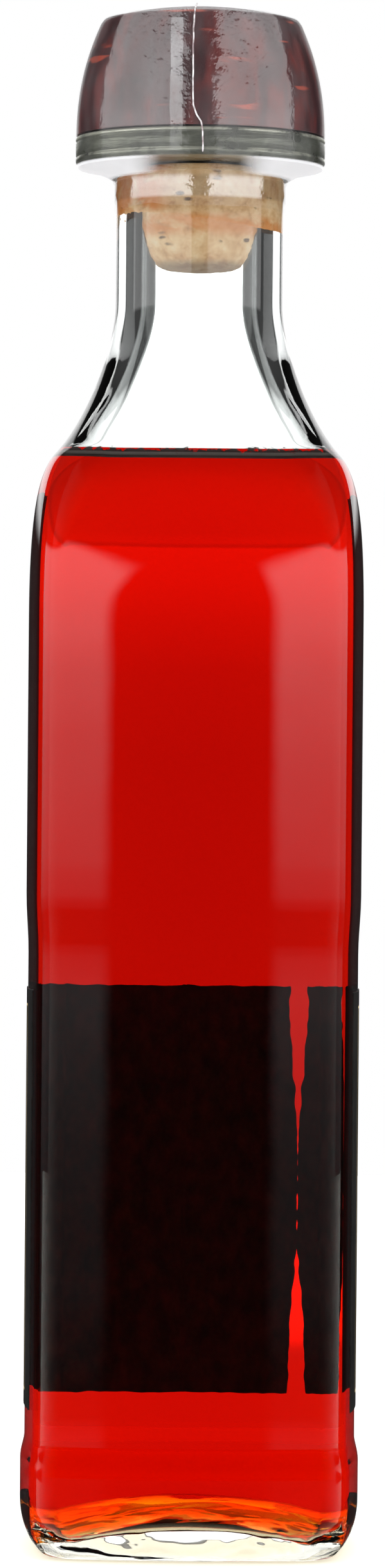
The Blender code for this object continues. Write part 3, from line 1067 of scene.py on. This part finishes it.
def makeRing():
    s = stopper
    footEdge, topEdge = s["ringFootEdge"], s["ringTopEdge"]
    profile = [(radius, ringFoot) for radius in (s["axis"], s["flatTo"], ringRadius - s["ringFootIn"])]
    profile += arcPoints((ringRadius - footEdge, ringFoot + footEdge), (footEdge, footEdge), -80, 0, 7)
    for share, depth in s["grooves"]:
        profile.append((ringRadius - s["groove"] * depth, mixed(ringFoot, ringTop, share)))
    profile += arcPoints((ringRadius - topEdge, ringTop - topEdge), (topEdge, topEdge), 10, 85, 5)
    profile += [(s["flatTo"], ringTop), (s["axis"], ringTop)]
    piece = turnPiece("pewterRing", profile, s["sides"])
    closePiece(piece, 50)
    placePiece(piece, ["stopper_ring"], [makePewterMaterial()])


# clear film shrunk over the stopper

film = {
    "gap": 0.00010,
    "thick": 0.00012,
    "topLap": 0.0050,
    "crinkle": 0.00006,
    "flareSheen": 0.7,            # painted white sheen on its left and right where it spans from the ring to the lip
    "shine": 0.150,
    # share of that by height: the lip, the ring and the cap
    "shineTones": (
        (0.2700, 0.12), (0.2720, 0.12), (0.2726, 1.0), (0.2760, 1.0), (0.2768, 0.15), (0.2855, 0.15),
        (0.2859, 0.37), (0.3120, 0.37),
    ),
    "sides": 180,
    "lipRows": (0.2722, 0.2740),
    "lipLeaves": 0.0022,         # below the lip's top it stands off, flares and spans to the ring
    "lipClears": 0.0008,
    "lipFlare": 0.0006,
    "underRing": (0.0206, 0.0011),
    "ringTurn": (0.0006, 0.0003),
    "flareUp": ((0.2766, 0.2774), (0.2795, 0.2799)),
    "flareAcross": (0.0070, 0.0150),
    "hem": 0.002,
    "hemWave": 0.0008,
    "overlap": (-0.0061, -0.0036),   # the doubled strip, left and right edge
    "stripEnds": (0.0008, 0.0015),
    "stripOut": 0.00006,
    "stripThick": 0.00010,
    "seamWide": 0.00016,
    "seamOut": 0.00008,
    "seamWave": 0.00012,
    "seamDomeSlope": 3.2,
    "seamRows": 90,
}


def filmProfile():
    g, s = glass, stopper
    underRadius, underDrop = film["underRing"]
    turnIn, turnDrop = film["ringTurn"]
    path = [(g["lipRadius"], z) for z in (filmFoot, *film["lipRows"], lipTop - film["lipLeaves"])]
    path += [(g["lipRadius"] + film["lipFlare"], lipTop - film["lipClears"])]
    path += [(underRadius, ringFoot - underDrop), (ringRadius - turnIn, ringFoot - turnDrop)]
    path += [(ringRadius, z) for z in (ringFoot + turnIn, mixed(ringFoot, ringTop, 0.5), capFoot)]
    edge = s["capTopRadius"] - film["topLap"]
    path += [point for point in capProfile()[1:] if point[0] > edge]
    moved = []
    for index, (radius, z) in enumerate(path):
        before, after = path[max(0, index - 1)], path[min(len(path) - 1, index + 1)]
        run, rise = after[0] - before[0], after[1] - before[1]
        length = math.hypot(run, rise)
        moved.append((radius + film["gap"] * rise / length, z - film["gap"] * run / length))
    return moved


def makeFilmMaterial(name, haze):
    material, tree = bareMaterial(name)
    clear = addNode(tree, "BsdfTransparent")
    shine = addNode(tree, "BsdfGlossy", Roughness=0.05)
    hazeAndSheenWhite = addNode(tree, "BsdfDiffuse")
    hazeAndSheenWhite.inputs["Color"].default_value = (0.9, 0.9, 0.92, 1)
    # it is taut from top to bottom, so its shine turns with the round of the cap only
    upright = addNode(tree, "VectorMath", operation="MULTIPLY")
    link(tree, addNode(tree, "NewGeometry").outputs["Normal"], upright.inputs[0])
    upright.inputs[1].default_value = (1, 1, 0.02)
    taut = addNode(tree, "VectorMath", operation="NORMALIZE")
    link(tree, upright.outputs[0], taut.inputs[0])
    crinkle = noiseOn(tree, objectPlace(tree, (1, 1, 0.7)), 380.0, 3.0, 0.6)
    creased = addNode(tree, "Bump", Distance=0.00011)
    link(tree, crinkle, creased.inputs["Height"])
    link(tree, taut.outputs[0], creased.inputs["Normal"])
    link(tree, creased.outputs["Normal"], shine.inputs["Normal"])
    share = toneAt(tree, axes(tree)["Z"], film["shineTones"])
    share = times(tree, share, film["shine"])
    first = addNode(tree, "MixShader")
    cloud = noiseOn(tree, objectPlace(tree, (1, 1, 0.4)), 120.0, 3.0, 0.6)
    parts = axes(tree)
    # painted white sheen on both sides of the span from the ring to the lip, added to the film's own cloudy
    # haze
    flare = between(tree, parts["Z"], *film["flareUp"])
    flare = times(tree, flare, smoothStep(tree, doMath(tree, "ABSOLUTE", parts["X"]), *film["flareAcross"]))
    hazeAndSheen = times(tree, smoothStep(tree, cloud, 0.35, 0.75), haze)
    hazeAndSheen = doMath(tree, "MAXIMUM", hazeAndSheen, times(tree, flare, film["flareSheen"]))
    link(tree, hazeAndSheen, first.inputs[0])
    link(tree, clear.outputs[0], first.inputs[1])
    link(tree, hazeAndSheenWhite.outputs[0], first.inputs[2])
    last = addNode(tree, "MixShader")
    link(tree, share, last.inputs[0])
    link(tree, first.outputs[0], last.inputs[1])
    link(tree, shine.outputs[0], last.inputs[2])
    linkSurface(tree, last)
    return material


def makeFilm():
    profile = filmProfile()
    piece = turnPiece("clearFilm", profile, film["sides"])
    for vert in piece.data.vertices:
        radius = math.hypot(vert.co.x, vert.co.y)
        push = (noise.noise(vert.co * 260) + 0.35) * film["crinkle"]
        hem = eased((filmFoot + film["hem"] - vert.co.z) / film["hem"])
        vert.co.z += hem * noise.noise(vert.co * 180) * film["hemWave"]
        vert.co.x *= 1 + max(0.0, push) / radius
        vert.co.y *= 1 + max(0.0, push) / radius
    faceOutwards(piece)
    thickenSheet(piece, film["thick"], 1.0, 30)
    placePiece(piece, ["seal"], [makeFilmMaterial("clearFilm", 0.03)])
    makeFilmStrip(profile)
    makeFilmSeam(profile)


# radius of the film's outside where it stands upright, for a height
def filmRadius(profile, z):
    return radiusAt([point for point in profile if point[1] >= ringFoot], z) + film["thick"] + film["crinkle"]


def makeFilmStrip(profile):
    left, right = film["overlap"]
    low, high = ringFoot + film["stripEnds"][0], stopper["capRim"] - film["stripEnds"][1]
    bpy.ops.object.select_all(action="DESELECT")
    bpy.ops.mesh.primitive_grid_add(x_subdivisions=6, y_subdivisions=60, size=1)
    piece = bpy.context.object
    piece.name = "filmOverlap"
    for vert in piece.data.vertices:
        z = mixed(low, high, vert.co.y + 0.5)
        edgeWave = 0.00025 * noise.noise(Vector((vert.co.x * 3, z * 220, 0)))
        x = mixed(left, right, vert.co.x + 0.5) + edgeWave
        radius = filmRadius(profile, z) + film["stripOut"]
        vert.co = (x, -math.sqrt(radius ** 2 - x ** 2), z)
    faceOutwards(piece)
    thickenSheet(piece, film["stripThick"], 0.0, 60)
    placePiece(piece, [], [makeFilmMaterial("filmOverlap", 0.12)])


# the welded line down the front, with its kink over the ring's top edge
seamLine = (
    (0.3112, -0.0009), (0.3095, -0.0013), (0.3050, -0.0016), (0.2990, -0.0016), (0.2930, -0.0016),
    (0.2895, -0.0015), (0.2875, -0.0008), (0.2862, 0.0001), (0.2845, 0.0004), (0.2800, 0.0005),
)


def makeFilmSeam(profile):
    bpy.ops.object.select_all(action="DESELECT")
    bpy.ops.curve.primitive_nurbs_path_add()
    curve = bpy.context.object
    curve.name = "filmSeam"
    curve.data.splines.clear()
    spline = curve.data.splines.new("POLY")
    rows = film["seamRows"]
    spline.points.add(rows)
    for row in range(rows + 1):
        z = mixed(seamLine[0][0], seamLine[-1][0], row / rows)
        x = radiusAt([(side, -height) for height, side in seamLine], -z)
        x += film["seamWave"] * noise.noise(Vector((0, 0, z * 420)))
        radius = filmRadius(profile, z)
        if z > stopper["capRim"]:
            beyondRim = z - stopper["capRim"]
            radius = stopper["capTopRadius"] - beyondRim * film["seamDomeSlope"] + film["thick"]
        spline.points[row].co = (x, -math.sqrt(radius ** 2 - x ** 2) - film["seamOut"], z, 1.0)
    curve.data.dimensions = "3D"
    curve.data.bevel_depth = film["seamWide"]
    curve.data.bevel_resolution = 2
    curve.data.use_fill_caps = True
    bpy.ops.object.convert(target="MESH")
    bpy.ops.object.transform_apply(location=True, rotation=True, scale=True)
    piece = bpy.context.object
    material, tree, shader = newMaterial("filmWeld", Roughness=0.3)
    tone = noiseOn(tree, objectPlace(tree), 700.0, 2.0)
    pale = ramp(tree, tone, ((0.35, (0.35, 0.27, 0.28)), (0.6, (0.9, 0.87, 0.88))))
    link(tree, pale, shader.inputs["Base Color"])
    placePiece(piece, [], [material])
    bpy.ops.object.shade_smooth()


# paper labels

label = {
    "sunk": 0.00004,             # glued, so the paper's back lies just in the glass
    "thick": 0.00026,
    "frontEdge": -0.0215,
    "mainEnd": 0.0178,
    "sideEnd": 0.0211,
    "bow": 0.00163,
    "bowPeak": 1.12,             # the bow is flat on top, as this is cut off at 1
    "bowFrom": 0.8,
    "ragged": 0.00035,
    "sideBorder": 0.03,
    "endBorder": 0.015,
    "frameIn": 0.0030,
    "frameSet": 0.0070,          # the frame stands further in beside the bare face
    "frameWide": 0.0005,
    "frameSoft": 0.00004,
    "frameColour": (0.55, 0.42, 0.20),
}


def makePaperMaterial():
    material, tree, shader = newMaterial("labelPaper", Roughness=0.62, Specular_IOR_Level=0.3)
    fibres = noiseOn(tree, objectPlace(tree), 900.0, 5.0, 0.65)
    cloud = noiseOn(tree, objectPlace(tree), 60.0, 3.0)
    base = ramp(tree, times(tree, plus(tree, fibres, cloud), 0.5), (
        (0.35, (0.010, 0.0095, 0.009)),
        (0.65, (0.024, 0.022, 0.021)),
    ))
    # a plain frame line printed on the front of the paper, from the flat sheet's own measures
    flat = addNode(tree, "UVMap")
    parts = addNode(tree, "SeparateXYZ")
    link(tree, flat.outputs["UV"], parts.inputs["Vector"])
    edges = doMath(tree, "MINIMUM", parts.outputs["X"], parts.outputs["Y"])
    frameStart, frameEnd = label["frameIn"], label["frameIn"] + label["frameWide"]
    soft = label["frameSoft"]
    line = between(tree, edges, *[(place - soft, place + soft) for place in (frameStart, frameEnd)])
    link(tree, mixColours(tree, line, base, label["frameColour"]), shader.inputs["Base Color"])
    link(tree, bump(tree, fibres, 0.00003), shader.inputs["Normal"])
    return material


# the glued side, seen through the glass
def makeBackingMaterial():
    material, tree, shader = newMaterial("labelBacking", Roughness=0.8, Specular_IOR_Level=0.0)
    fibres = noiseOn(tree, objectPlace(tree, (1, 1, 0.6)), 300.0, 4.0, 0.6)
    base = ramp(tree, fibres, ((0.35, (0.085, 0.008, 0.006)), (0.70, (0.190, 0.018, 0.012))))
    link(tree, base, shader.inputs["Base Color"])
    return material


# how far out the paper's back lies on a face, for a distance along it from its middle
def onPanel(along):
    face = glass["faceBow"] - label["sunk"]
    spare = face - glass["panelHalf"] + label["sunk"]
    return math.sqrt(face ** 2 - along ** 2) - spare


# points from near the bare face, along the right side, round the corner and over the far face
def labelPath(farEnd):
    frontEdge, sunk = label["frontEdge"], label["sunk"]
    loop = sectionPoints(glass["panelHalf"] - sunk, 1.0, sunk)
    path = [Vector((x, y)) for x, y in loop if x > farEnd and y > frontEdge]
    path.sort(key=lambda point: math.atan2(point.y, point.x))
    return [Vector((onPanel(frontEdge), frontEdge))] + path + [Vector((farEnd, onPanel(farEnd)))]


def walk(path, distance):
    for here, there in zip(path, path[1:]):
        length = (there - here).length
        if distance <= length:
            return here.lerp(there, max(0.0, distance) / length)
        distance -= length
    return path[-1]


# 1 at both ends of a share from 0 to 1, easing to 0 across a border
def nearEnds(share, border):
    return max(eased((share - 1 + border) / border), eased((border - share) / border))


def facesOut(polygon):
    return polygon.normal.x * polygon.center.x + polygon.normal.y * polygon.center.y > 0


def makeLabel(name, node, farEnd, side, materials):
    path = labelPath(farEnd)
    length = sum((there - here).length for here, there in zip(path, path[1:]))
    tall = labelHigh - labelLow
    bpy.ops.object.select_all(action="DESELECT")
    bpy.ops.mesh.primitive_grid_add(x_subdivisions=90, y_subdivisions=110, size=1)
    piece = bpy.context.object
    piece.name = name
    flat = {}
    for vert in piece.data.vertices:
        across, up = vert.co.x + 0.5, vert.co.y + 0.5
        bow = label["bow"] * min(1.0, label["bowPeak"] * math.sin(math.pi * up) ** 2)
        end = length + bow * eased((across - label["bowFrom"]) / (1 - label["bowFrom"]))
        along = across * end
        ragged = noise.noise(Vector((across * 9, up * 38, 1.7))) * label["ragged"]
        along += nearEnds(across, label["sideBorder"]) * ragged
        ragged = noise.noise(Vector((across * 40, up * 5, 4.2))) * label["ragged"]
        z = labelLow + tall * up + nearEnds(up, label["endBorder"]) * ragged
        nearEdge = along - label["frameSet"]
        flat[vert.index] = (min(nearEdge, end - along), min(z - labelLow, labelHigh - z))
        point = walk(path, along)
        if along > length:
            x = farEnd - (along - length)
            point = Vector((x, onPanel(x)))
        vert.co = (side * point.x, point.y, z)
    for loop in piece.data.loops:
        piece.data.uv_layers.active.data[loop.index].uv = flat[loop.vertex_index]
    faceOutwards(piece)
    if not facesOut(piece.data.polygons[len(piece.data.polygons) // 2]):
        piece.data.flip_normals()
    thickenSheet(piece, label["thick"], 1.0, 50)
    for polygon in piece.data.polygons:
        polygon.material_index = 0 if facesOut(polygon) else 1
    placePiece(piece, [node], materials)


def makeLabels():
    materials = [makePaperMaterial(), makeBackingMaterial()]
    makeLabel("sideLabel", "label_side", label["sideEnd"], 1, materials)
    makeLabel("mainLabel", "label_main", -label["mainEnd"], -1, materials)


makeCamera()
makeWorld()
makeFloor()
makeCard()
makeVeil()
print("camera, light and floor ready")
makeBottle()
makeDrink()
makeRim()
makeCork()
makeCap()
makeRing()
makeFilm()
makeLabels()
